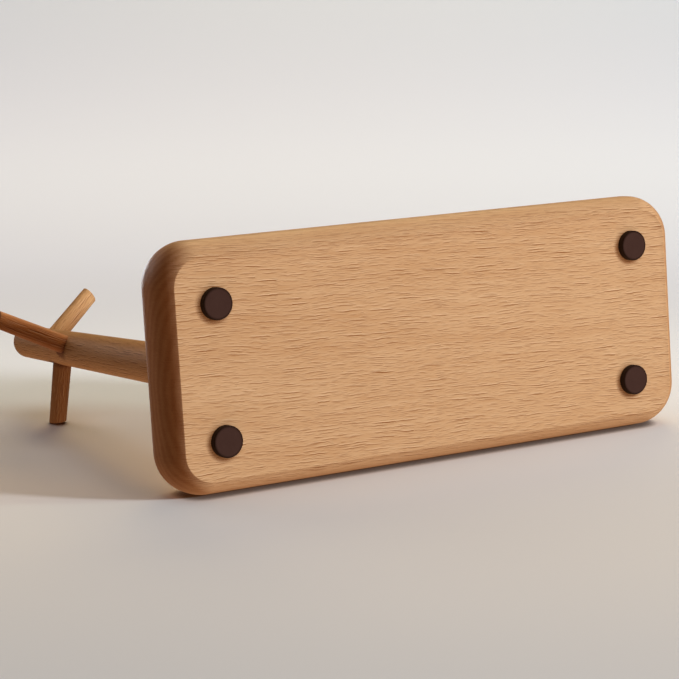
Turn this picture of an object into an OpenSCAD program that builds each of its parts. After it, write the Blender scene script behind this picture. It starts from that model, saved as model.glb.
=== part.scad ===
// Small tabletop hanging stand: a rounded beech board on four pads,
// with a turned post near one end that carries three round pegs.

/* [Base board] */
// Length of the board
base_length = 250; // [220:5:300]
// Width of the board
base_width = 100; // [90:1:130]
// Thickness of the board
base_thickness = 24; // [22:0.5:30]
// Radius of the board's corners, seen from above
corner_radius = 18; // [15:1:30]
// Radius of the rounded edges
edge_radius = 12; // [9:0.5:12]
// How far short of a full quarter round the edge stops, which leaves a crease
edge_crease = 1.6; // [1.2:0.1:2.5]

/* [Post] */
// Distance from the board's end to the post's axis
post_inset = 15; // [15:0.5:30]
// Height of the post above the board
post_height = 150; // [145:1:220]
// Diameter at the foot
post_foot_diameter = 17; // [17:0.5:20]
// Diameter at the top, before it is rounded over
post_top_diameter = 14.2; // [14:0.1:17]
// Radius of the rounded top
post_top_radius = 6.5; // [4:0.5:6.5]
// Diameter of the tenon that is glued into the board
tenon_diameter = 10; // [8:0.5:11]
// Length of the tenon
tenon_length = 14; // [10:1:15]

/* [Pegs] */
// Diameter where a peg leaves the post
peg_root_diameter = 8; // [6:0.1:8.4]
// Diameter at the free end
peg_end_diameter = 7.5; // [5.5:0.1:8.4]
// Upward slope of the pegs, in degrees
peg_slope = 25; // [15:1:30]
// Level distance from the post's axis to the pegs' ends
peg_reach = 34.5; // [30:0.5:45]
// Depth of the peg's square inner end beyond the post's axis
peg_seat = 3.4; // [2:0.1:3.5]
// Height of the lowest peg's axis above the board
lowest_peg_height = 89; // [60:1:95]
// Rise from one peg to the next
peg_rise = 17; // [16:0.5:24]
// Direction of the top peg, in degrees from the board's free end
top_peg_direction = -32.5; // [-180:0.5:180]
// Turn from one peg to the next one down, in degrees
peg_turn = 120; // [90:5:150]

/* [Foot pads] */
// Diameter of a pad
pad_diameter = 12.8; // [10:0.1:16]
// Thickness of a pad's rubber
pad_thickness = 2.7; // [1.5:0.1:4]
// Thickness of the adhesive disc above it
adhesive_thickness = 0.3; // [0.2:0.1:0.5]
// Distance from the board's end to a pad's centre
pad_end_inset = 24; // [16:1:40]
// Distance from the board's side to a pad's centre
pad_side_inset = 21.5; // [16:0.5:35]

/* [Hidden] */
$fn = 96;
// Small overlap that keeps two cutting shapes from sharing a face
eps = 0.01;
// Room for glue all round a tenon or a peg
glue_gap = 0.05;
// Room for glue below the tenon
socket_spare = 1;
tenon_chamfer = 1;
pad_edge_radius = 0.5;
adhesive_margin = 0.4;

underside_z = pad_thickness + adhesive_thickness;
top_z = underside_z + base_thickness;
// Height of the edge arcs' centres above or below the nearer face
arc_height = edge_radius - edge_crease;
post_x = -base_length / 2 + post_inset;
pad_x = base_length / 2 - pad_end_inset;
pad_y = base_width / 2 - pad_side_inset;
// The pads are stuck on by hand, so each lies a little off its nominal place
front_left_offset = [-1, 3];
front_right_offset = [-0.5, -1];
back_left_offset = [-0.5, 0];
back_right_offset = [-3, 0];

board_colour = [0.78, 0.60, 0.44];
post_colour = [0.74, 0.53, 0.36];
peg_colour = [0.72, 0.50, 0.33];
pad_colour = [0.25, 0.17, 0.14];
adhesive_colour = [0.55, 0.50, 0.44];

// Right half of the rounded edge: x runs outwards from the arcs' centres
module edge_outline() {
    intersection() {
        square([edge_radius, base_thickness]);
        union() {
            translate([0, arc_height]) circle(edge_radius);
            translate([0, base_thickness - arc_height]) circle(edge_radius);
            translate([0, arc_height])
                square([edge_radius, base_thickness - 2 * arc_height]);
        }
    }
}

// Cross-section of the board for a given full width
module board_outline(width) {
    flat = width / 2 - edge_radius;
    translate([-flat, 0]) square([2 * flat, base_thickness]);
    for (side = [0, 1]) mirror([side, 0]) translate([flat, 0]) edge_outline();
}

// One corner of the board, as a full turned disc
module board_corner() {
    core = corner_radius - edge_radius;
    rotate_extrude() {
        square([core, base_thickness]);
        translate([core, 0]) edge_outline();
    }
}

module board_blank() {
    span_x = base_length - 2 * corner_radius;
    span_y = base_width - 2 * corner_radius;
    translate([-span_x / 2, 0, 0])
        rotate([90, 0, 90]) linear_extrude(span_x) board_outline(base_width);
    translate([0, span_y / 2, 0])
        rotate([90, 0, 0]) linear_extrude(span_y) board_outline(base_length);
    for (x = [-1, 1], y = [-1, 1])
        translate([x * span_x / 2, y * span_y / 2, 0]) board_corner();
}

module base_board() {
    socket_depth = tenon_length + socket_spare;
    color(board_colour)
        difference() {
            translate([0, 0, underside_z]) board_blank();
            translate([post_x, 0, top_z - socket_depth])
                cylinder(d = tenon_diameter + 2 * glue_gap, h = socket_depth + eps);
        }
}

// Places a child along a peg's axis: level 0 is the lowest peg, and z = 0 is on the post's axis
module on_peg_axis(level) {
    at_peg_height(level) rotate([0, 90 - peg_slope, 0]) children();
}

// Places a child at a peg's height, with x pointing level in the peg's direction
module at_peg_height(level) {
    direction = top_peg_direction + (2 - level) * peg_turn;
    translate([post_x, 0, top_z + lowest_peg_height + level * peg_rise])
        rotate([0, 0, direction]) children();
}

// The post's shaft, turned: a slight taper and a rounded top
module post_shaft() {
    shoulder_z = post_height - post_top_radius;
    flat = post_top_diameter / 2 - post_top_radius;
    rotate_extrude() {
        polygon([
            [0, 0], [post_foot_diameter / 2, 0],
            [post_top_diameter / 2, shoulder_z], [0, shoulder_z]
        ]);
        translate([0, shoulder_z]) square([flat, post_top_radius]);
        translate([flat, shoulder_z])
            intersection() {
                circle(post_top_radius);
                square(post_top_radius);
            }
    }
}

module post_tenon() {
    straight = tenon_length - tenon_chamfer;
    translate([0, 0, -straight]) cylinder(d = tenon_diameter, h = straight + eps);
    translate([0, 0, -tenon_length])
        cylinder(d1 = tenon_diameter - 2 * tenon_chamfer, d2 = tenon_diameter, h = tenon_chamfer);
}

module post() {
    color(post_colour)
        difference() {
            translate([post_x, 0, top_z]) {
                post_shaft();
                post_tenon();
            }
            for (level = [0:2])
                on_peg_axis(level)
                    translate([0, 0, -peg_seat])
                        cylinder(d = peg_root_diameter + 2 * glue_gap, h = post_foot_diameter + peg_seat);
        }
}

// A round peg with a square inner end, a slight taper outside the post,
// and its free end cut upright
module peg(level) {
    root_z = post_foot_diameter / 2;
    tip_z = peg_reach / cos(peg_slope);
    spare = peg_root_diameter;
    taper = (peg_root_diameter - peg_end_diameter) / (tip_z - root_z);
    color(peg_colour)
        difference() {
            on_peg_axis(level) {
                translate([0, 0, -peg_seat])
                    cylinder(d = peg_root_diameter, h = root_z + peg_seat);
                translate([0, 0, root_z])
                    cylinder(
                        d1 = peg_root_diameter,
                        d2 = peg_end_diameter - taper * spare,
                        h = tip_z - root_z + spare
                    );
            }
            at_peg_height(level)
                translate([peg_reach, -2 * spare, -peg_reach])
                    cube([4 * spare, 4 * spare, 3 * peg_reach]);
        }
}

module peg_lower() { peg(0); }
module peg_middle() { peg(1); }
module peg_upper() { peg(2); }

// Places a child at one pad's centre on the plane that the stand rests on
module at_pad(end, side, offset) {
    translate([end * pad_x + offset[0], side * pad_y + offset[1], 0]) children();
}

module foot_pad(end, side, offset) {
    flat = pad_diameter / 2 - pad_edge_radius;
    color(pad_colour)
        at_pad(end, side, offset)
            rotate_extrude() {
                square([flat, pad_thickness]);
                translate([flat, pad_edge_radius])
                    square([pad_edge_radius, pad_thickness - pad_edge_radius]);
                translate([flat, pad_edge_radius])
                    intersection() {
                        circle(pad_edge_radius);
                        translate([0, -pad_edge_radius]) square(pad_edge_radius);
                    }
            }
}

module foot_pad_front_left() { foot_pad(-1, -1, front_left_offset); }
module foot_pad_front_right() { foot_pad(1, -1, front_right_offset); }
module foot_pad_back_left() { foot_pad(-1, 1, back_left_offset); }
module foot_pad_back_right() { foot_pad(1, 1, back_right_offset); }

module adhesive_disc() {
    translate([0, 0, pad_thickness])
        cylinder(d = pad_diameter - 2 * adhesive_margin, h = adhesive_thickness);
}

module pad_adhesive_discs() {
    color(adhesive_colour) {
        at_pad(-1, -1, front_left_offset) adhesive_disc();
        at_pad(1, -1, front_right_offset) adhesive_disc();
        at_pad(-1, 1, back_left_offset) adhesive_disc();
        at_pad(1, 1, back_right_offset) adhesive_disc();
    }
}

base_board();
post();
peg_lower();
peg_middle();
peg_upper();
foot_pad_front_left();
foot_pad_front_right();
foot_pad_back_left();
foot_pad_back_right();
pad_adhesive_discs();
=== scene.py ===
"""Looks, studio and camera for a small beech hanging stand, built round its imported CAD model.

The stand is modelled upright, but the camera shows it lying on its side: the board rests on
its +Y edge and the stand on the tip of its middle peg. So the studio has two floors. The camera
sees the lying floor. Views from above see the upright floor, which is the one under the pads.
"""

import math

import bpy
from mathutils import Matrix, Vector


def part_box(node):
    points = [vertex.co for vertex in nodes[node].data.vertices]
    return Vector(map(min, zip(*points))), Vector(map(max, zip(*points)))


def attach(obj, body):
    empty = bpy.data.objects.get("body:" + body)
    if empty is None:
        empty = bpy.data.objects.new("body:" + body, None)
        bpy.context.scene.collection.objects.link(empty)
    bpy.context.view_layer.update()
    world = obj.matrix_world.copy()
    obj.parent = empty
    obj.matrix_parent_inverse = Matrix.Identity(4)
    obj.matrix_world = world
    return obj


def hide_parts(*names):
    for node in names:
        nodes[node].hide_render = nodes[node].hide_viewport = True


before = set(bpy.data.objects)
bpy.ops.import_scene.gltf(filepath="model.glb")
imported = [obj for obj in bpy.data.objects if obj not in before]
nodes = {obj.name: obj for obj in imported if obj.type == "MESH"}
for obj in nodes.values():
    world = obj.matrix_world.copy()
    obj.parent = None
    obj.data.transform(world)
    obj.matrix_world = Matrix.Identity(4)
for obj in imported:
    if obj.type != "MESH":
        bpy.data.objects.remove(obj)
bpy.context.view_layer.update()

MM = 0.001
QUARTER_TURN = math.pi / 2
FULL_TURN = 2 * math.pi
WHITE = (1, 1, 1, 1)

# ---------------------------------------------------------------- lying pose

STEEPEST_TILT = math.radians(20)
HALVINGS = 40


def reach(node, tilt):
    """How far a node stretches towards a floor that leans by this angle."""
    towards_floor = Vector((0, math.cos(tilt), math.sin(tilt)))
    return max(vertex.co.dot(towards_floor) for vertex in nodes[node].data.vertices)


def resting_tilt():
    """The lean at which the board's edge and the middle peg's tip both touch the floor."""
    low, high = 0.0, STEEPEST_TILT
    for _ in range(HALVINGS):
        middle = (low + high) / 2
        if reach("base_board", middle) > reach("peg_middle", middle):
            low = middle
        else:
            high = middle
    return low


TILT = resting_tilt()
# Directions when the stand lies down: along the board, up, and out of its underside
ALONG = Vector((1, 0, 0))
UP = Vector((0, -math.cos(TILT), -math.sin(TILT)))
OUT = ALONG.cross(UP)
board_low, board_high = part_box("base_board")
CENTRE = (board_low + board_high) / 2
# Height of the lying floor over the board's centre, so it is negative
FLOOR_UP = -reach("base_board", TILT) - CENTRE.dot(UP)

# The camera's place from the lying board's centre in metres, and its angles and lens
CAMERA_ALONG = -0.5046
CAMERA_OUT = 0.7731
CAMERA_UP = 0.1987
CAMERA_HEADING = math.radians(30.98)
CAMERA_PITCH = math.radians(12.20)
CAMERA_ROLL = math.radians(-0.21)
CAMERA_LENS = 120.65
SENSOR_WIDTH = 36
FARTHEST_SEEN = 50

# Level directions into and across the picture
AHEAD = ALONG * math.sin(CAMERA_HEADING) - OUT * math.cos(CAMERA_HEADING)
ACROSS = ALONG * math.cos(CAMERA_HEADING) + OUT * math.sin(CAMERA_HEADING)


def lying_point(across, ahead, above_floor):
    """A point of the lying studio, measured from the floor under the board's centre."""
    return CENTRE + UP * (FLOOR_UP + above_floor) + ACROSS * across + AHEAD * ahead


def new_object(name, data):
    made = bpy.data.objects.new(name, data)
    bpy.context.scene.collection.objects.link(made)
    return made


def make_camera():
    data = bpy.data.cameras.new("camera")
    data.lens = CAMERA_LENS
    data.sensor_width = SENSOR_WIDTH
    data.clip_end = FARTHEST_SEEN
    camera = new_object("camera", data)
    forward = AHEAD * math.cos(CAMERA_PITCH) - UP * math.sin(CAMERA_PITCH)
    level_right = forward.cross(UP).normalized()
    level_up = level_right.cross(forward)
    right = level_right * math.cos(CAMERA_ROLL) + level_up * math.sin(CAMERA_ROLL)
    turn = Matrix((right, right.cross(forward), -forward)).transposed()
    place = CENTRE + ALONG * CAMERA_ALONG + OUT * CAMERA_OUT + UP * CAMERA_UP
    camera.matrix_world = Matrix.Translation(place) @ turn.to_4x4()
    bpy.context.scene.camera = camera


# ---------------------------------------------------------------- node helpers


def new_material(name):
    material = bpy.data.materials.new(name)
    material.use_nodes = True
    material.node_tree.nodes.clear()
    return material


def add(tree, kind, inputs=None, **settings):
    """Adds a node, sets its properties and gives its inputs values or links."""
    node = tree.nodes.new(kind)
    for name, value in settings.items():
        setattr(node, name, value)
    for key, value in (inputs or {}).items():
        if isinstance(value, bpy.types.NodeSocket):
            tree.links.new(value, node.inputs[key])
        else:
            node.inputs[key].default_value = value
    return node


def math_node(tree, operation, *values, clamp=False):
    inputs = dict(enumerate(values))
    return add(tree, "ShaderNodeMath", inputs, operation=operation, use_clamp=clamp).outputs[0]


def times(tree, value, factor):
    return math_node(tree, "MULTIPLY", value, factor)


def times_plus(tree, value, factor, extra, clamp=False):
    """value * factor + extra"""
    return math_node(tree, "MULTIPLY_ADD", value, factor, extra, clamp=clamp)


def vector_node(tree, operation, *values, output="Vector"):
    inputs = dict(enumerate(values))
    return add(tree, "ShaderNodeVectorMath", inputs, operation=operation).outputs[output]


def length(tree, vector):
    return vector_node(tree, "LENGTH", vector, output="Value")


def ramp(tree, value, low, high, to_low=0.0, to_high=1.0):
    """Smooth change of value from low..high into to_low..to_high."""
    inputs = {
        "Value": value,
        "From Min": low,
        "From Max": high,
        "To Min": to_low,
        "To Max": to_high,
    }
    return add(tree, "ShaderNodeMapRange", inputs, interpolation_type="SMOOTHSTEP").outputs[0]


def noise(tree, vector, detail=2.0, roughness=0.5, scale=1.0):
    inputs = {"Vector": vector, "Scale": scale, "Detail": detail, "Roughness": roughness}
    return add(tree, "ShaderNodeTexNoise", inputs).outputs["Fac"]


def mix_colour(tree, share, first, second, blend="MIX"):
    # The Mix node's colours are its inputs 6 and 7 and its output 2
    inputs = {0: share, 6: first, 7: second}
    return add(tree, "ShaderNodeMix", inputs, data_type="RGBA", blend_type=blend).outputs[2]


def tint(tree, share, colour, tinted_by):
    return mix_colour(tree, share, colour, tinted_by, blend="MULTIPLY")


def bump(tree, height, strength, distance):
    inputs = {"Height": height, "Strength": strength, "Distance": distance}
    return add(tree, "ShaderNodeBump", inputs).outputs[0]


def surface(tree, inputs):
    """Ends a material in a Principled shader with these inputs."""
    shader = add(tree, "ShaderNodeBsdfPrincipled", inputs)
    add(tree, "ShaderNodeOutputMaterial", {"Surface": shader.outputs[0]})


def openness(tree, distance, lean):
    """1 on open surfaces, less where things stand this close, mostly on the lean's side."""
    facing = add(tree, "ShaderNodeNewGeometry").outputs["Normal"]
    leaning = vector_node(tree, "NORMALIZE", vector_node(tree, "ADD", facing, tuple(lean)))
    inputs = {"Distance": distance, "Normal": leaning}
    return add(tree, "ShaderNodeAmbientOcclusion", inputs, samples=6).outputs["AO"]


# ---------------------------------------------------------------- beech

# Sizes in the grain are in millimetres: along it, across it and into the wood

BEECH_LIGHT = (0.70, 0.43, 0.235, 1)
BEECH_DARK = (0.55, 0.285, 0.13, 1)
RAY_HIGHLIGHT_COLOUR = (0.86, 0.60, 0.38, 1)
RAY_TINT = (0.43, 0.25, 0.11, 1)
END_TONE_AND_SHADE = (0.60, 0.41, 0.28, 1)
END_TONE_AND_SHADE_SHARE = 0.7
# Painted shade close to the pads and the joints: its colour, strength and reach
CONTACT_SHADE_COLOUR = (0.30, 0.16, 0.08, 1)
CONTACT_SHADE_SHARE = 0.95
CONTACT_REACH = 2.8 * MM
# The side that things stand on if their painted shade is to count; it leans the way light falls on
# the lying stand
CONTACT_LEAN = UP * 0.8 + ALONG * 0.7
CONTACT_OPENNESS = (0.5, 0.98)

# Large, middle and small rays: distance apart, half of their size, and strength
RAY_LAYERS = (
    ((13.0, 1.9, 5.0), (5.6, 0.18, 3.6), 1.0),
    ((8.0, 1.2, 4.0), (3.5, 0.14, 3.0), 0.8),
    ((4.5, 0.75, 3.0), (1.9, 0.11, 2.2), 0.65),
)
RAY_SEED_STEP = 29
# A ray's least size and strength, and how much chance may add
RAY_SIZES = (0.5, 0.8)
RAY_STRENGTHS = (0.4, 0.6)
# Where a ray's soft edge starts and ends, in half sizes
RAY_EDGE = (0.6, 1.15)
RAY_FADE_ON_ENDS = 0.9
RAY_FADE_ON_SIDES = 0.6
# A painted highlight runs beside each dark ray, on the same side of every ray
HIGHLIGHT_OFFSET = (0, 0.42, 0)
HIGHLIGHT_SHARE = 0.55

# Slow to quick wandering of the grain: over what distance, and how far
WANDERINGS = (
    ((38, 16, 22), (3, 3.0, 3)),
    ((7, 2.6, 3.5), (0.6, 0.42, 0.5)),
    ((2.6, 2.4, 3), (0.3, 0.34, 0.3)),
)

# Streaks and clouds in the wood's tone: share and size
TONE_LAYERS = ((0.16, (110, 5, 9)), (0.10, (60, 28, 30)), (0.12, (16, 1.6, 2.5)))
THREAD_SIZE = (11.0, 0.5, 0.6)
THREAD_SHARE = 0.24

RING_SPACING = 3.1
# Distance from the pith counts for little along the trunk, so the rings run nearly straight
RING_STRETCH = (0.012, 1, 1)
RING_SHARE = 0.06
RING_SHARE_ON_ENDS = 0.20

# How squarely a surface faces before it counts as end grain, or as showing the rays' broad sides
END_FACING = (0.12, 0.75)
RAY_SIDE_FACING = (0.45, 0.95)

WOOD_ROUGHNESS = 0.50
THREAD_ROUGHNESS = 0.04
RAY_ROUGHNESS = -0.06
# Height of the rays against that of the threads
RAY_HEIGHT = -1.2


def spindles(tree, grain, spacing, half_size, seed):
    """Dark spindles, one in each cell, longest along the grain, 0 to 1."""
    shifted = vector_node(tree, "ADD", grain, (seed, seed * 1.7, seed * 2.3))
    spaced = vector_node(tree, "DIVIDE", shifted, spacing)
    cells = add(tree, "ShaderNodeTexVoronoi", {"Vector": spaced, "Scale": 1.0, "Randomness": 1.0})
    offset = vector_node(tree, "SUBTRACT", spaced, cells.outputs["Position"])
    in_sizes = tuple(gap / half for gap, half in zip(spacing, half_size))
    away = length(tree, vector_node(tree, "MULTIPLY", offset, in_sizes))
    random = add(tree, "ShaderNodeSeparateColor", {"Color": cells.outputs["Color"]})
    least_size, more_size = RAY_SIZES
    least_strength, more_strength = RAY_STRENGTHS
    size = times_plus(tree, random.outputs[0], more_size, least_size)
    strength = times_plus(tree, random.outputs[1], more_strength, least_strength)
    shape = ramp(tree, math_node(tree, "DIVIDE", away, size), *RAY_EDGE, 1.0, 0.0)
    return times(tree, shape, strength)


def ray_layers(tree, grain, seed):
    """All sizes of rays together, 0 to 1."""
    rays = 0.0
    for number, (spacing, half_size, strength) in enumerate(RAY_LAYERS):
        layer = spindles(tree, grain, spacing, half_size, seed + RAY_SEED_STEP * number)
        rays = math_node(tree, "MAXIMUM", rays, times(tree, layer, strength))
    return rays


def along_grain(tree, coordinates, turn, scale=1.0):
    """Object's or Normal's coordinates, turned so that the grain lies along X."""
    vector = add(tree, "ShaderNodeTexCoord").outputs[coordinates]
    inputs = {"Vector": vector, "Rotation": turn, "Scale": (scale, scale, scale)}
    return add(tree, "ShaderNodeMapping", inputs).outputs[0]


def wandering(tree, straight):
    """Grain that wanders slowly over the piece and quickly by a fraction of a millimetre."""
    grain = straight
    for spread, shift in WANDERINGS:
        at = vector_node(tree, "DIVIDE", straight, spread)
        drift = add(tree, "ShaderNodeTexNoise", {"Vector": at, "Scale": 1.0, "Detail": 1.0})
        centred = vector_node(tree, "SUBTRACT", drift.outputs["Color"], (0.5, 0.5, 0.5))
        grain = vector_node(tree, "ADD", grain, vector_node(tree, "MULTIPLY", centred, shift))
    return grain


def fibres_like(tree, grain, size, detail=2.0, roughness=0.5):
    """Noise drawn out to this size, from about -1 to 1."""
    at = vector_node(tree, "DIVIDE", grain, size)
    return times_plus(tree, noise(tree, at, detail, roughness), 4.0, -2.0)


def facings(tree, turn):
    """How much a surface cuts across the grain, and how much it shows the rays' broad sides."""
    facing = add(tree, "ShaderNodeSeparateXYZ", {"Vector": along_grain(tree, "Normal", turn)})
    end_grain = ramp(tree, math_node(tree, "ABSOLUTE", facing.outputs[0]), *END_FACING)
    ray_sides = ramp(tree, math_node(tree, "ABSOLUTE", facing.outputs[1]), *RAY_SIDE_FACING)
    return end_grain, ray_sides


def shown_rays(tree, grain, seed, end_grain, ray_sides):
    """Dark rays and the painted highlights beside them, fainter on the ends and on broad sides."""
    rays = ray_layers(tree, grain, seed)
    beside = ray_layers(tree, vector_node(tree, "ADD", grain, HIGHLIGHT_OFFSET), seed)
    off_ends = times_plus(tree, end_grain, -RAY_FADE_ON_ENDS, 1.0)
    off_sides = times_plus(tree, ray_sides, -RAY_FADE_ON_SIDES, 1.0)
    shown = times(tree, off_ends, off_sides)
    dark = times(tree, rays, shown)
    painted_highlight = times(tree, beside, math_node(tree, "SUBTRACT", shown, dark, clamp=True))
    return dark, painted_highlight


def growth_rings(tree, grain, pith):
    """A wave round the trunk's middle, -1 to 1."""
    from_pith = vector_node(tree, "SUBTRACT", grain, (0, *pith))
    radius = length(tree, vector_node(tree, "MULTIPLY", from_pith, RING_STRETCH))
    return math_node(tree, "SINE", times(tree, radius, FULL_TURN / RING_SPACING))


def wood_tone(tree, grain, threads, rings, end_grain):
    """0 for the darkest wood to 1 for the lightest."""
    # The rings show most where the fibres are cut across
    ring_share = times_plus(tree, end_grain, RING_SHARE_ON_ENDS, RING_SHARE)
    tone = times_plus(tree, rings, ring_share, 0.5)
    for share, size in TONE_LAYERS:
        tone = times_plus(tree, fibres_like(tree, grain, size), share, tone)
    return times_plus(tree, threads, THREAD_SHARE, tone, clamp=True)


def painted_contact_shade(tree):
    """How deep the painted shade is close to the pads and the joints, as the lying stand shows it.
    """
    open_share = openness(tree, CONTACT_REACH, CONTACT_LEAN)
    return times(tree, ramp(tree, open_share, *CONTACT_OPENNESS, 1.0, 0.0), CONTACT_SHADE_SHARE)


def beech(name, turn, pith, seed, tone_and_shade=WHITE):
    """Beech with its grain along X after the turn. pith is the trunk's middle, across the grain."""
    material = new_material(name)
    tree = material.node_tree
    grain = wandering(tree, along_grain(tree, "Object", turn, 1 / MM))
    end_grain, ray_sides = facings(tree, turn)
    rays, painted_highlight = shown_rays(tree, grain, seed, end_grain, ray_sides)
    rings = growth_rings(tree, grain, pith)
    threads = fibres_like(tree, grain, THREAD_SIZE, detail=2.0, roughness=0.6)

    tone = wood_tone(tree, grain, threads, rings, end_grain)
    wood = mix_colour(tree, tone, BEECH_DARK, BEECH_LIGHT)
    # The piece's own tone; on the pegs also painted light and shade
    wood = tint(tree, 1.0, wood, tone_and_shade)
    wood = tint(tree, rays, wood, RAY_TINT)
    # Painted highlight along one side of each ray
    wood = mix_colour(tree, times(tree, painted_highlight, HIGHLIGHT_SHARE), wood, RAY_HIGHLIGHT_COLOUR)
    # Across the cut fibres the wood is darker and redder: partly its own colour, partly painted
    # shade for the board's end, which lies in shade
    wood = tint(tree, times(tree, end_grain, END_TONE_AND_SHADE_SHARE), wood, END_TONE_AND_SHADE)
    # Painted shade close to the pads and the joints
    wood = tint(tree, painted_contact_shade(tree), wood, CONTACT_SHADE_COLOUR)

    # Rays are smoother than the wood around them, and lie a little lower
    rough = times_plus(tree, threads, THREAD_ROUGHNESS, WOOD_ROUGHNESS)
    rough = times_plus(tree, rays, RAY_ROUGHNESS, rough)
    height = times_plus(tree, rays, RAY_HEIGHT, threads)
    normal = bump(tree, height, strength=0.3, distance=0.03 * MM)
    inputs = {"Base Color": wood, "Roughness": rough, "Normal": normal, "Specular IOR Level": 0.2}
    surface(tree, inputs)
    return material


# ---------------------------------------------------------------- pads

RUBBER_DARK = (0.034, 0.014, 0.011, 1)
RUBBER_LIGHT = (0.076, 0.038, 0.030, 1)
# Painted shade on the pad's rim and side wall, and how strong it is
RUBBER_RIM_SHADE = (0.010, 0.004, 0.002, 1)
RIM_SHADE_SHARE = 0.7
# Where the rim starts and where it is full, as a share of the pad's radius
RIM_BAND = (0.80, 0.97)
ADHESIVE_DARK = (0.20, 0.15, 0.11, 1)
ADHESIVE_LIGHT = (0.30, 0.24, 0.18, 1)
# Patterns to a metre
RUBBER_GRAINS = 2500
RUBBER_CLOUDS = 220
ADHESIVE_PATCHES = 900


def rim_share(tree, generated):
    """0 in the middle of a pad to 1 at its rim."""
    from_middle = vector_node(tree, "SUBTRACT", generated, (0.5, 0.5, 0.5))
    outwards = vector_node(tree, "MULTIPLY", from_middle, (2, 2, 0))
    return ramp(tree, length(tree, outwards), *RIM_BAND)


def foam_rubber():
    material = new_material("pad_rubber")
    tree = material.node_tree
    coordinates = add(tree, "ShaderNodeTexCoord")
    place = coordinates.outputs["Object"]
    grains = noise(tree, place, detail=4.0, roughness=0.7, scale=RUBBER_GRAINS)
    clouds = noise(tree, place, detail=2.0, scale=RUBBER_CLOUDS)
    tone = times_plus(tree, grains, 0.7, times(tree, clouds, 0.3))
    colour = mix_colour(tree, tone, RUBBER_DARK, RUBBER_LIGHT)
    # Darker towards the rim and on the side wall: painted shade on the pad's edge
    rim_shade = rim_share(tree, coordinates.outputs["Generated"])
    colour = mix_colour(tree, times(tree, rim_shade, RIM_SHADE_SHARE), colour, RUBBER_RIM_SHADE)
    normal = bump(tree, grains, strength=0.5, distance=0.08 * MM)
    inputs = {"Base Color": colour, "Roughness": 0.8, "Normal": normal, "Specular IOR Level": 0.25}
    surface(tree, inputs)
    return material


def adhesive():
    material = new_material("pad_adhesive")
    tree = material.node_tree
    place = add(tree, "ShaderNodeTexCoord").outputs["Object"]
    patches = noise(tree, place, detail=2.0, scale=ADHESIVE_PATCHES)
    colour = mix_colour(tree, patches, ADHESIVE_DARK, ADHESIVE_LIGHT)
    surface(tree, {"Base Color": colour, "Roughness": 0.45})
    return material


def paint(names, material):
    for name in names:
        for slot in nodes[name].material_slots:
            slot.material = material


# ---------------------------------------------------------------- mesh helpers


def mesh_object(name, vertices, faces, flat_faces=()):
    mesh = bpy.data.meshes.new(name)
    mesh.from_pydata(vertices, [], faces + list(flat_faces))
    smooth = [True] * len(faces) + [False] * len(flat_faces)
    mesh.polygons.foreach_set("use_smooth", smooth)
    return new_object(name, mesh)


def angles_round(count):
    return [FULL_TURN * i / count for i in range(count)]


def ring_faces(rows, columns):
    """Quads between neighbouring closed rings of points."""
    return [
        (row + at, row + (at + 1) % columns, row + columns + (at + 1) % columns, row + columns + at)
        for row in range(0, (rows - 1) * columns, columns)
        for at in range(columns)
    ]


def lofted(name, rings):
    """A closed mesh through rings of points, with a flat cap at each end."""
    rows, columns = len(rings), len(rings[0])
    points = [point for ring in rings for point in ring]
    last = (rows - 1) * columns
    caps = [tuple(reversed(range(columns))), tuple(range(last, last + columns))]
    return mesh_object(name, points, ring_faces(rows, columns), caps)


def stand_for(piece, node, material):
    """Shows the piece in place of a CAD node."""
    piece.data.materials.clear()
    piece.data.materials.append(material)
    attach(piece, "root")
    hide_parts(node)


# ---------------------------------------------------------------- board

CORNER_RADIUS = 18 * MM
EDGE_RADIUS = 12 * MM
# How far short of a full quarter round the board's edge stops
EDGE_CREASE = 1.6 * MM
# Radius that sanding leaves on the crease
CREASE_RADIUS = 0.7 * MM
SOCKET_RADIUS = 5.05 * MM
# How much deeper the socket is than the tenon
SOCKET_SPARE = 1 * MM

CORNER_STEPS = 20
ROUND_STEPS = 20
SOFT_STEPS = 4
SOCKET_SIDES = 64
# The signs of X and Y at the corners, in the order of the angle
CORNERS = ((1, 1), (-1, 1), (-1, -1), (1, -1))

post_low, post_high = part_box("post")
POST_AXIS = (post_low + post_high) / 2
POST_FOOT_RADIUS = (post_high.x - post_low.x) / 2


def edge_profile(thickness):
    """(inset, height) up the board's side: soft crease, round, short flat, and the same again."""
    arc_height = EDGE_RADIUS - EDGE_CREASE
    # The small round is tangent to the face and to the large round that it lies in
    soft_out = math.sqrt((EDGE_RADIUS - CREASE_RADIUS) ** 2 - (arc_height - CREASE_RADIUS) ** 2)
    join = math.atan2(soft_out, arc_height - CREASE_RADIUS)
    soft = [join * step / SOFT_STEPS for step in range(SOFT_STEPS)]
    large = [join + (QUARTER_TURN - join) * step / ROUND_STEPS for step in range(ROUND_STEPS + 1)]
    lower = [
        (EDGE_RADIUS - soft_out - CREASE_RADIUS * math.sin(a), CREASE_RADIUS * (1 - math.cos(a)))
        for a in soft
    ]
    lower += [
        (EDGE_RADIUS * (1 - math.sin(a)), arc_height - EDGE_RADIUS * math.cos(a))
        for a in large
    ]
    return lower + [(inset, thickness - height) for inset, height in reversed(lower)]


def board_ring(half_length, half_width, inset, height):
    """One level of the board: a rectangle with round corners, drawn in by inset."""
    radius = CORNER_RADIUS - inset
    ring = []
    for quarter, (x, y) in enumerate(CORNERS):
        middle_x = x * (half_length - CORNER_RADIUS)
        middle_y = y * (half_width - CORNER_RADIUS)
        for step in range(CORNER_STEPS + 1):
            angle = (quarter + step / CORNER_STEPS) * QUARTER_TURN
            point_x = middle_x + radius * math.cos(angle)
            point_y = middle_y + radius * math.sin(angle)
            ring.append((point_x, point_y, height))
    return ring


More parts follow.
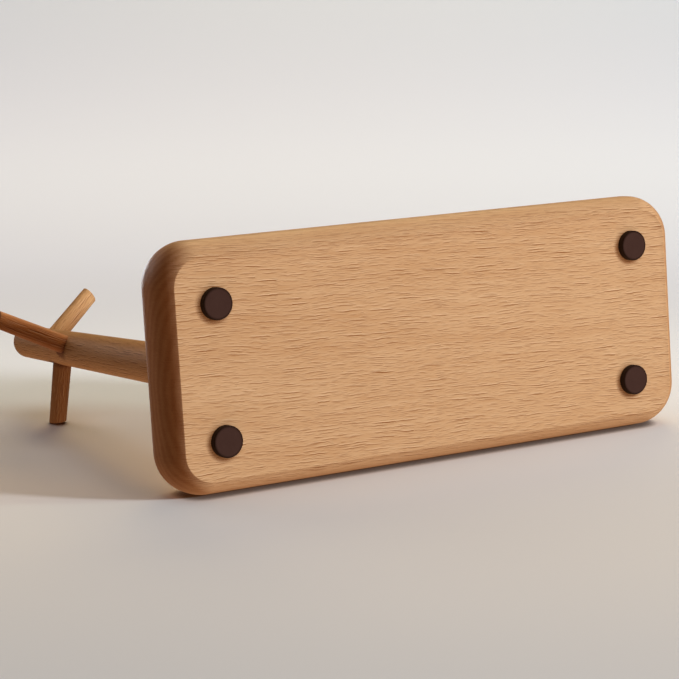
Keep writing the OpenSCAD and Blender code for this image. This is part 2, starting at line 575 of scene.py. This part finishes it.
def drill(piece, place, radius, depth):
    """Cuts a round socket down into the piece."""
    rings = [
        [
            (place.x + radius * math.cos(a), place.y + radius * math.sin(a), z)
            for a in angles_round(SOCKET_SIDES)
        ]
        for z in (place.z - depth, place.z + depth)
    ]
    cutter = lofted("cutter", rings)
    cut = piece.modifiers.new("socket", "BOOLEAN")
    cut.operation = "DIFFERENCE"
    cut.solver = "EXACT"
    cut.object = cutter
    bpy.context.view_layer.update()
    evaluated = piece.evaluated_get(bpy.context.evaluated_depsgraph_get())
    finished = bpy.data.meshes.new_from_object(evaluated)
    piece.modifiers.clear()
    piece.data = finished
    bpy.data.objects.remove(cutter)


def board():
    half = (board_high - board_low) / 2
    rings = [
        board_ring(half.x, half.y, inset, board_low.z + height)
        for inset, height in edge_profile(board_high.z - board_low.z)
    ]
    made = lofted("board", rings)
    mouth = Vector((POST_AXIS.x, POST_AXIS.y, board_high.z))
    drill(made, mouth, SOCKET_RADIUS, board_high.z - post_low.z + SOCKET_SPARE)
    return made


# ---------------------------------------------------------------- pegs

PEG_SLOPE = math.radians(25)
PEG_ROOT_RADIUS = 4 * MM
PEG_END_RADIUS = 3.75 * MM
# Level distance from the post's axis to the free end
PEG_REACH = 34.5 * MM
# How far the inner end runs past the post's axis
PEG_SEAT = 3.4 * MM
# Radius of the softened edges
PEG_EDGE = 0.4 * MM
PEG_SIDES = 48
# Each peg's direction round the post in degrees, and the tint of its wood: partly the stick's own
# tone, partly painted light and shade, darkest on the middle peg that stands in shadow by the floor
PEGS = {
    "peg_upper": (-32.5, (0.88, 0.90, 0.80, 1)),
    "peg_middle": (87.5, (0.62, 0.52, 0.40, 1)),
    "peg_lower": (207.5, (0.76, 0.52, 0.33, 1)),
}


def peg_turn(name):
    """The turn that lays a peg's length along X."""
    direction = PEGS[name][0]
    level = Matrix.Rotation(-math.radians(direction), 3, "Z")
    return Matrix.Rotation(PEG_SLOPE, 3, "Y") @ level


def square_ring(radius, along):
    """A ring of a peg, square to its length."""
    return [
        (along, radius * math.sin(a), radius * math.cos(a))
        for a in angles_round(PEG_SIDES)
    ]


def upright_ring(radius, from_axis):
    """A ring of a peg, cut parallel to the post at this distance from its axis."""
    ring = []
    for a in angles_round(PEG_SIDES):
        along = (from_axis + radius * math.cos(a) * math.sin(PEG_SLOPE)) / math.cos(PEG_SLOPE)
        ring.append((along, radius * math.sin(a), radius * math.cos(a)))
    return ring


def peg_rings():
    """A peg along X from the post's axis: square inner end, taper, and a free end cut upright."""
    soft = [QUARTER_TURN * step / SOFT_STEPS for step in range(SOFT_STEPS + 1)]
    rings = []
    for a in reversed(soft):
        radius = PEG_ROOT_RADIUS - PEG_EDGE * (1 - math.cos(a))
        rings.append(square_ring(radius, PEG_EDGE * (1 - math.sin(a)) - PEG_SEAT))
    rings.append(square_ring(PEG_ROOT_RADIUS, POST_FOOT_RADIUS))
    for a in soft:
        radius = PEG_END_RADIUS - PEG_EDGE * (1 - math.cos(a))
        rings.append(upright_ring(radius, PEG_REACH - PEG_EDGE * (1 - math.sin(a))))
    return rings


def peg(name):
    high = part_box(name)[1]
    # From where the peg's and the post's axes cross up to the highest point of the free end
    rise = PEG_REACH * math.tan(PEG_SLOPE) + PEG_END_RADIUS / math.cos(PEG_SLOPE)
    start = Vector((POST_AXIS.x, POST_AXIS.y, high.z - rise))
    turn_back = peg_turn(name).inverted()
    rings = [[start + turn_back @ Vector(point) for point in ring] for ring in peg_rings()]
    return lofted(name + "_round", rings)


# ---------------------------------------------------------------- wooden pieces

# The board's grain runs a little askew
BOARD_GRAIN = (0, 0, math.radians(-2.6))
BOARD_PITH = (14, -66)
BOARD_SEED = 0
POST_GRAIN = (0, QUARTER_TURN, 0)
POST_PITH = (9, 24)
POST_SEED = 5
POST_SHADE = (1.0, 0.99, 0.90, 1)
PEG_PITH = (6, 18)
PEG_SEED = 11
PEG_SEED_STEP = 7


def wooden_pieces():
    board_wood = beech("board_wood", BOARD_GRAIN, BOARD_PITH, BOARD_SEED)
    stand_for(board(), "base_board", board_wood)
    paint(["post"], beech("post_wood", POST_GRAIN, POST_PITH, POST_SEED, POST_SHADE))
    for number, (name, (_, tone_and_shade)) in enumerate(PEGS.items()):
        seed = PEG_SEED + PEG_SEED_STEP * number
        wood = beech(name + "_wood", peg_turn(name).to_euler(), PEG_PITH, seed, tone_and_shade)
        stand_for(peg(name), name, wood)


# ---------------------------------------------------------------- floors

UPRIGHT_FLOOR_Z = -0.1 * MM
UPRIGHT_FLOOR_SIDES = 96
UPRIGHT_FLOOR_MIDDLE = 0.01
LYING_FLOOR_FRONT = -3.0
LYING_FLOOR_HALF_WIDTH = 6
COVE_STEPS = 24
FLOOR_COLOUR = (0.80, 0.816, 0.85, 1)
# Painted shadow: colour of a floor where the stand shuts out the light, and how near that begins
PAINTED_SHADOW_COLOUR = (0.09, 0.07, 0.055, 1)
PAINTED_SHADOW_SHARE = 0.92
PAINTED_SHADOW_OPENNESS = (0.2, 0.9)
LYING_SHADOW_DISTANCE = 4 * MM
UPRIGHT_SHADOW_DISTANCE = 20 * MM
# Colour of the backdrop's paper by distance in metres behind the stand, with painted light and
# shade: darker in front, brighter behind the stand and where the sweep bends
BACKDROP_PAINTED_LIGHT = (
    (-0.30, (0.655, 0.65, 0.65, 1)),
    (-0.12, (0.81, 0.745, 0.68, 1)),
    (0.04, (0.82, 0.785, 0.745, 1)),
    (0.17, (1.00, 1.00, 1.00, 1)),
    (0.32, (0.755, 0.765, 0.815, 1)),
    (0.48, (0.81, 0.835, 0.93, 1)),
    (0.76, (0.865, 0.905, 1.00, 1)),
    (0.96, (0.735, 0.765, 0.88, 1)),
    (1.15, (0.65, 0.695, 0.80, 1)),
)


def seen_only(thing):
    """Keeps a floor from lighting or shading the stand, so both floors suit every view."""
    thing.visible_diffuse = False
    thing.visible_glossy = False
    thing.visible_transmission = False
    thing.visible_shadow = False


def cove(flat, radius, wall):
    """(distance, height) along a floor that bends up into a wall."""
    bend = [i / COVE_STEPS * QUARTER_TURN for i in range(COVE_STEPS + 1)]
    curve = [(flat + radius * math.sin(a), radius * (1 - math.cos(a))) for a in bend]
    return curve + [(flat + radius, radius + wall)]


def floor_material(name, hidden, paper, shadow_distance):
    """Matt paper, clear where the hidden socket is 1, with painted shadow where things stand close
    to it.
    """
    material = new_material(name)
    tree = material.node_tree
    open_share = openness(tree, shadow_distance, (0, 0, 0))
    painted_shadow = ramp(tree, open_share, *PAINTED_SHADOW_OPENNESS, 1.0, 0.0)
    # Painted shadow where things stand close to the floor
    colour = mix_colour(tree, times(tree, painted_shadow, PAINTED_SHADOW_SHARE), paper(tree), PAINTED_SHADOW_COLOUR)
    matt = add(tree, "ShaderNodeBsdfDiffuse", {"Color": colour}).outputs[0]
    clear = add(tree, "ShaderNodeBsdfTransparent").outputs[0]
    shown = add(tree, "ShaderNodeMixShader", {0: hidden(tree), 1: matt, 2: clear})
    add(tree, "ShaderNodeOutputMaterial", {"Surface": shown.outputs[0]})
    return material


def plain_paper(tree):
    paper = add(tree, "ShaderNodeRGB")
    paper.outputs[0].default_value = FLOOR_COLOUR
    return paper.outputs[0]


def painted_backdrop(tree):
    """Paper with painted light and shade that change with its distance behind the stand."""
    place = add(tree, "ShaderNodeNewGeometry").outputs["Position"]
    behind = vector_node(tree, "DOT_PRODUCT", place, tuple(AHEAD), output="Value")
    low, high = BACKDROP_PAINTED_LIGHT[0][0], BACKDROP_PAINTED_LIGHT[-1][0]
    share = add(tree, "ShaderNodeMapRange", {"Value": behind, "From Min": low, "From Max": high})
    painted_shades = add(tree, "ShaderNodeValToRGB", {"Fac": share.outputs[0]})
    stops = painted_shades.color_ramp
    stops.interpolation = "B_SPLINE"
    while len(stops.elements) < len(BACKDROP_PAINTED_LIGHT):
        stops.elements.new(0.5)
    for stop, (distance, colour) in zip(stops.elements, BACKDROP_PAINTED_LIGHT):
        stop.position = (distance - low) / (high - low)
        stop.color = colour
    return painted_shades.outputs[0]


def from_below(tree):
    return add(tree, "ShaderNodeNewGeometry").outputs["Backfacing"]


def not_through_upright_floor(tree):
    """1 above the upright floor, for sight that hasn't come up through it."""
    place = add(tree, "ShaderNodeNewGeometry").outputs["Position"]
    height = add(tree, "ShaderNodeSeparateXYZ", {"Vector": place}).outputs[2]
    above = math_node(tree, "GREATER_THAN", height, UPRIGHT_FLOOR_Z)
    crossed = add(tree, "ShaderNodeLightPath").outputs["Transparent Depth"]
    straight = math_node(tree, "LESS_THAN", crossed, 0.5)
    return times(tree, above, straight)


def lying_floor():
    profile = [(LYING_FLOOR_FRONT, 0.0)] + cove(flat=0.55, radius=1.6, wall=2.5)
    sides = (-LYING_FLOOR_HALF_WIDTH, LYING_FLOOR_HALF_WIDTH)
    points = [lying_point(side, ahead, up) for ahead, up in profile for side in sides]
    faces = [(row, row + 2, row + 3, row + 1) for row in range(0, 2 * len(profile) - 2, 2)]
    floor = mesh_object("lying_floor", points, faces)
    floor.data.materials.append(floor_material(
        "lying_floor", not_through_upright_floor, painted_backdrop, LYING_SHADOW_DISTANCE
    ))
    seen_only(floor)


def upright_floor():
    profile = [(UPRIGHT_FLOOR_MIDDLE, 0.0)] + cove(flat=2.2, radius=1.0, wall=1.5)
    points = [
        (distance * math.cos(a), distance * math.sin(a), height + UPRIGHT_FLOOR_Z)
        for distance, height in profile
        for a in angles_round(UPRIGHT_FLOOR_SIDES)
    ]
    middle = tuple(reversed(range(UPRIGHT_FLOOR_SIDES)))
    faces = ring_faces(len(profile), UPRIGHT_FLOOR_SIDES)
    floor = mesh_object("upright_floor", points, faces, [middle])
    floor.data.flip_normals()
    floor.data.materials.append(floor_material(
        "upright_floor", from_below, plain_paper, UPRIGHT_SHADOW_DISTANCE
    ))
    seen_only(floor)


# ---------------------------------------------------------------- lights

# Each softbox's heading and height in degrees, distance and size in metres, watts and colour
KEY_LIGHTS = {
    "key_high": (-14, 18, 3.2, 0.32, 91, (0.81, 0.866, 0.99)),
    "key_low": (-2, 10, 3.2, 0.32, 50, (0.745, 1.0, 0.90)),
}
FILL_LIGHTS = {
    "front": (-40, 20, 1.6, 0.7, 4.2, (1.0, 0.5, 0.25)),
    "top": (90, 85, 1.6, 1.2, 4.2, (1.0, 0.66, 0.36)),
    "back": (90, 40, 1.6, 1.0, 9.3, (1.0, 0.77, 0.41)),
    "back_left": (150, 20, 1.6, 1.0, 4.3, (1.0, 0.82, 0.75)),
}
PEGS_LIGHT = (-10, 55, 1.2, 0.5, 5.2, (1.0, 0.80, 0.60))
BEHIND_LIGHT = (121, 0, 1.6, 0.4, 7.0, (0.85, 0.93, 1.0))
# Each floor's overhead light: way up, strength and colour
OVERHEAD_LIGHTS = {
    "upright_floor": (Vector((0, 0, 1)), 2.5, (0.95, 0.98, 1.0)),
    "lying_floor": (UP, 0.45, (0.3, 0.65, 1.0)),
}
OVERHEAD_SPREAD = math.radians(50)
# The point that the softboxes stand round, and most of them face
LIT_POINT = lying_point(0, 0, 0.05)
FLOOR_GLOW = (0.69, 0.41, 0.23)
FAINT_GLOW = (0.02, 0.02, 0.02)


def light_group(name, things, state):
    """Things that a light treats in a way of its own."""
    group = bpy.data.collections.new(name)
    for thing in things:
        group.objects.link(thing)
    for member in group.collection_objects:
        member.light_linking.link_state = state
    return group


def let_through(light, things):
    """The light shines through these things as if they weren't there."""
    group = light_group(light.name + "_through", things, "EXCLUDE")
    light.light_linking.blocker_collection = group


def keep_off(light, things):
    """The light doesn't fall on these things."""
    group = light_group(light.name + "_off", things, "EXCLUDE")
    light.light_linking.receiver_collection = group


def only_for(light, things):
    """The light falls on these things and nothing else."""
    group = light_group(light.name + "_only", things, "INCLUDE")
    light.light_linking.receiver_collection = group


def new_light(name, kind, energy, colour, turn):
    data = bpy.data.lights.new(name, kind)
    data.energy = energy
    data.color = colour
    light = new_object(name, data)
    light.rotation_mode = "QUATERNION"
    light.rotation_quaternion = turn
    return light


def lamp_place(heading, height, distance):
    """A point round the lying board. Heading turns from the picture's right towards its back."""
    heading, height = math.radians(heading), math.radians(height)
    level = ACROSS * math.cos(heading) + AHEAD * math.sin(heading)
    return LIT_POINT + (level * math.cos(height) + UP * math.sin(height)) * distance


def softbox(name, settings, target=LIT_POINT):
    """A square light for everything but the upright floor."""
    heading, height, distance, size, power, colour = settings
    place = lamp_place(heading, height, distance)
    light = new_light(name, "AREA", power, colour, (target - place).to_track_quat("-Z", "Y"))
    light.data.shape = "SQUARE"
    light.data.size = size
    light.location = place
    light.visible_camera = False
    keep_off(light, [bpy.data.objects["upright_floor"]])
    return light


def softboxes(pads):
    for name, settings in KEY_LIGHTS.items():
        key = softbox(name, settings)
        # The photo shows no long shadows of the thin pads, so the small key lights leave them out
        let_through(key, pads)
        # Their mirror image would be a white line along the board's lowest edge, seen from behind
        key.visible_glossy = False
    for name, settings in FILL_LIGHTS.items():
        softbox(name, settings)
    pegs = softbox("pegs", PEGS_LIGHT, target=POST_AXIS)
    only_for(pegs, [bpy.data.objects[name + "_round"] for name in ("peg_upper", "peg_lower")])
    behind = softbox("behind", BEHIND_LIGHT)
    only_for(behind, [bpy.data.objects["board"]])


def overhead_lights():
    """Even light from overhead for each floor, which nothing else takes."""
    for floor, (up, energy, colour) in OVERHEAD_LIGHTS.items():
        light = new_light("overhead_" + floor, "SUN", energy, colour, up.to_track_quat("Z", "Y"))
        light.data.angle = OVERHEAD_SPREAD
        only_for(light, [bpy.data.objects[floor]])


def world_light():
    """What the room throws back: warm from the lying stand's floor, and faint from all round."""
    world = bpy.data.worlds.new("studio")
    bpy.context.scene.world = world
    world.use_nodes = True
    tree = world.node_tree
    tree.nodes.clear()
    direction = add(tree, "ShaderNodeTexCoord").outputs["Generated"]
    downward = vector_node(tree, "DOT_PRODUCT", direction, tuple(-UP), output="Value")
    share = math_node(tree, "MAXIMUM", downward, 0.0)
    spread = add(tree, "ShaderNodeVectorMath", {0: FLOOR_GLOW, 3: share}, operation="SCALE")
    glow = vector_node(tree, "ADD", spread.outputs[0], FAINT_GLOW)
    sky = add(tree, "ShaderNodeBackground", {"Color": glow, "Strength": 1.0})
    add(tree, "ShaderNodeOutputWorld", {"Surface": sky.outputs[0]})


def main():
    make_camera()
    wooden_pieces()
    pads = [name for name in nodes if name.startswith("foot_pad")]
    paint(pads, foam_rubber())
    paint(["pad_adhesive_discs"], adhesive())
    lying_floor()
    upright_floor()
    softboxes([nodes[name] for name in pads])
    overhead_lights()
    world_light()
    bpy.context.scene.view_settings.view_transform = "Standard"


main()
